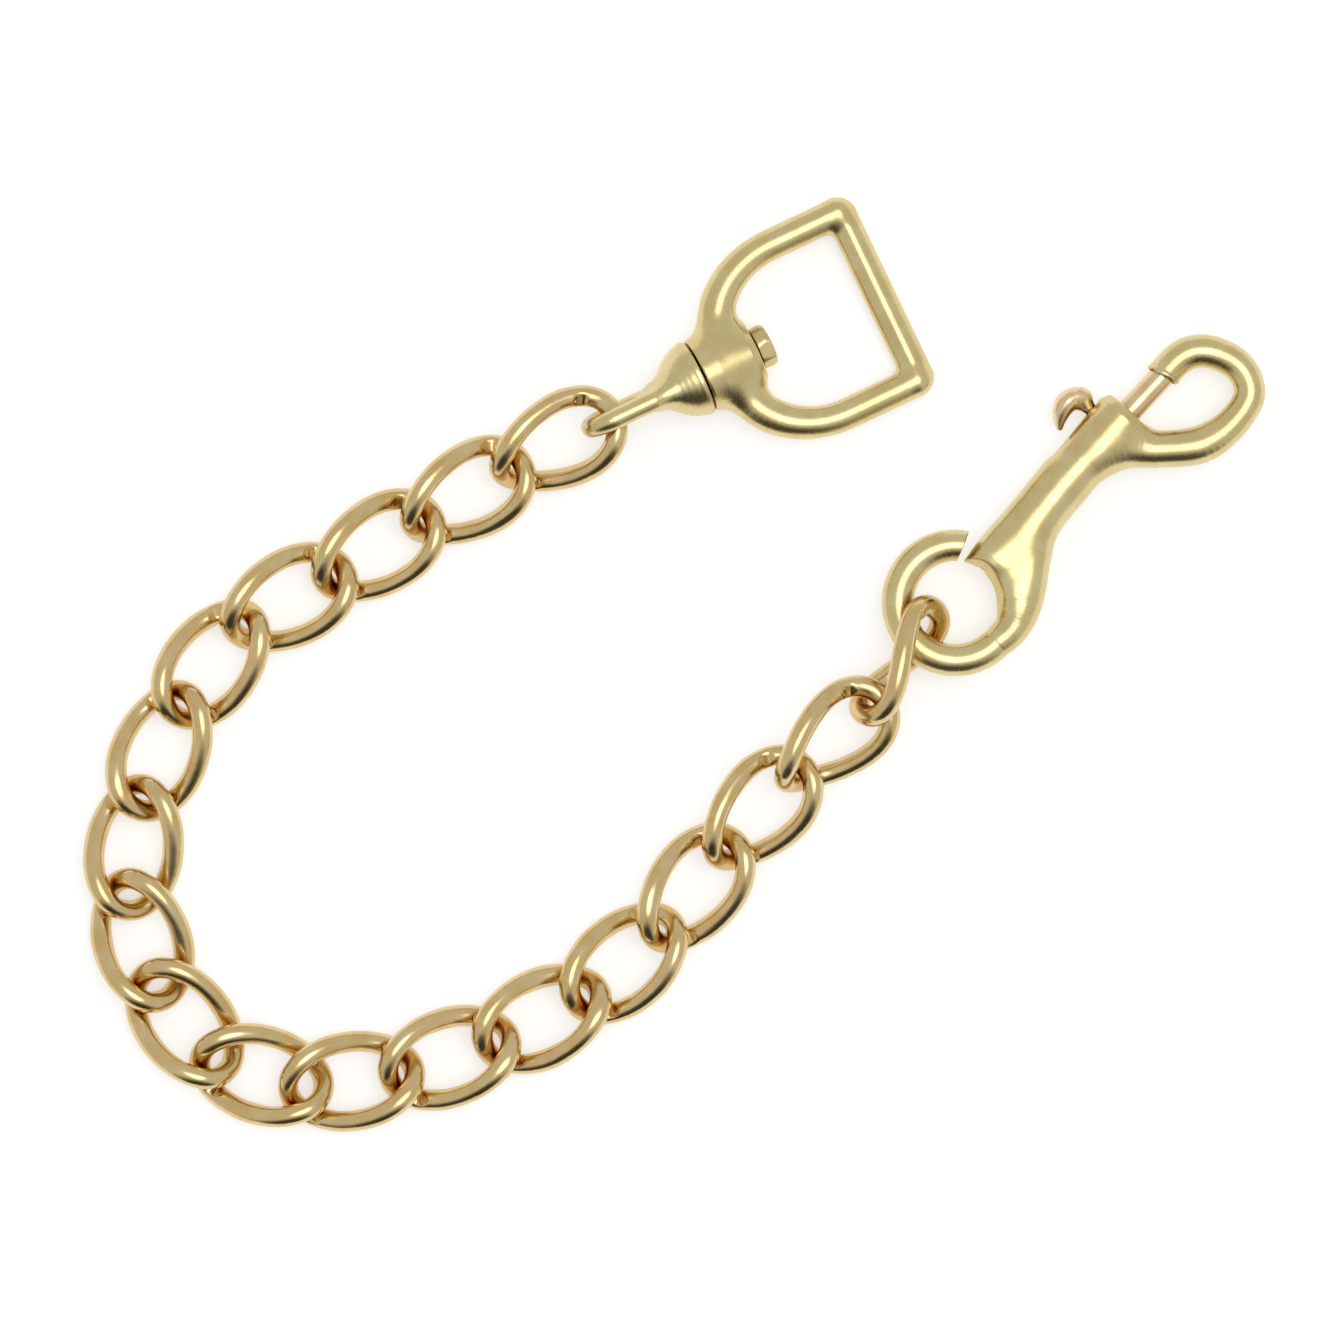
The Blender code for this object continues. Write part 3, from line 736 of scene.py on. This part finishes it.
def stud_field(points):
    """A stem that flares into the thumb lever, which is broader than it is thick."""
    flare = STEM_RADIUS + 0.30 * np.clip(points[:, 1] - 4.6, 0, 2.4)
    around = np.hypot(points[:, 0] - STEM_PLACE, points[:, 2]) - flare
    stem = np.maximum(around, np.maximum(0.3 - points[:, 1], points[:, 1] - 8.2))
    lever = tube_field(points * (1, 1, 0.72), lever_line())
    return joined(stem, lever, 0.8)


def build_snap():
    points, quads, normals = skin(snap_field, (-57, -19.5, -6.5), (22, 12.5, 6.5), SNAP_CELL)
    piece("snap_casting", points, quads, normals, SNAP, "snap", "snap_body", CAST)
    points, quads, normals = skin(bolt_field, (-14, -3, -3), (9, 3, 3), BOLT_CELL)
    piece("bolt_rod", points, quads, normals, SNAP, "bolt", "snap_bolt", TRIM)
    points, quads, normals = skin(stud_field, (-13, -0.5, -4), (-1, 11, 4), STUD_CELL)
    piece("thumb_lever", points, quads, normals, SNAP, "bolt", "snap_thumb_stud", TRIM)


# --- floor, light and camera --------------------------------------------------------------------------------

def build_floor():
    """A plain white sheet, bright enough to lose the object's shade."""
    mesh = bpy.data.meshes.new("floor_sheet")
    bm = bmesh.new()
    bmesh.ops.create_grid(bm, x_segments=8, y_segments=8, size=1.5)
    bm.to_mesh(mesh)
    bm.free()
    floor = bpy.data.objects.new("floor_sheet", mesh)
    floor.location = (0, 0, -0.00005)
    bpy.context.scene.collection.objects.link(floor)
    paper = bpy.data.materials.new("white_paper")
    paper.use_nodes = True
    shader = paper.node_tree.nodes["Principled BSDF"]
    shader.inputs["Base Color"].default_value = (0.70, 0.70, 0.70, 1)
    shader.inputs["Roughness"].default_value = 0.9
    shader.inputs["Specular IOR Level"].default_value = 0.1
    shader.inputs["Emission Color"].default_value = (1, 1, 1, 1)
    shader.inputs["Emission Strength"].default_value = 0.50
    mesh.materials.append(paper)


def build_light():
    """A pale studio all round, dark low at the front, with one bright soft box overhead."""
    world = bpy.data.worlds.new("studio")
    bpy.context.scene.world = world
    world.use_nodes = True
    tree = world.node_tree
    links = tree.links
    back = tree.nodes["Background"]
    where = node(tree, "ShaderNodeTexCoord")

    def lobe(direction, start, end):
        """0 outside, 1 inside a soft disc round a direction, by cosine."""
        aim = node(tree, "ShaderNodeVectorMath", operation="DOT_PRODUCT")
        links.new(where.outputs["Generated"], aim.inputs[0])
        aim.inputs[1].default_value = Vector(direction).normalized()
        span = {"From Min": start, "From Max": end}
        fade = node(tree, "ShaderNodeMapRange", span, interpolation_type="SMOOTHSTEP")
        links.new(aim.outputs["Value"], fade.inputs["Value"])
        return fade.outputs["Result"]

    def over(base, share, value):
        """The base level, or a value where the share is 1."""
        mix = node(tree, "ShaderNodeMix", data_type="FLOAT")
        links.new(share, mix.inputs["Factor"])
        if isinstance(base, float):
            mix.inputs["A"].default_value = base
        else:
            links.new(base, mix.inputs["A"])
        mix.inputs["B"].default_value = value
        return mix.outputs["Result"]

    level = over(0.72, lobe((-0.02, -1.0, 0.28), 0.64, 0.95), 0.05)
    level = over(level, lobe((0.16, 0.02, 1.0), 0.90, 0.995), 3.0)
    links.new(level, back.inputs["Strength"])
    back.inputs["Color"].default_value = (0.98, 0.99, 1.0, 1)


def build_camera():
    """A long lens looking straight down."""
    camera = bpy.data.cameras.new("camera")
    made = bpy.data.objects.new("camera", camera)
    bpy.context.scene.collection.objects.link(made)
    camera.type = "PERSP"
    camera.sensor_width = SENSOR_WIDTH
    camera.lens = SENSOR_WIDTH * CAMERA_HEIGHT / (VIEW_WIDTH * MM)
    camera.clip_start = 0.05
    camera.clip_end = 20
    made.location = (*VIEW_MIDDLE, CAMERA_HEIGHT)
    bpy.context.scene.camera = made


build_chain()
build_dee()
build_snap()
frame["nodes"]["snap_spring"].data.materials.clear()
frame["nodes"]["snap_spring"].data.materials.append(STEEL)
build_floor()
build_light()
build_camera()
view = bpy.context.scene.view_settings
view.view_transform = "Standard"
view.look = "None"
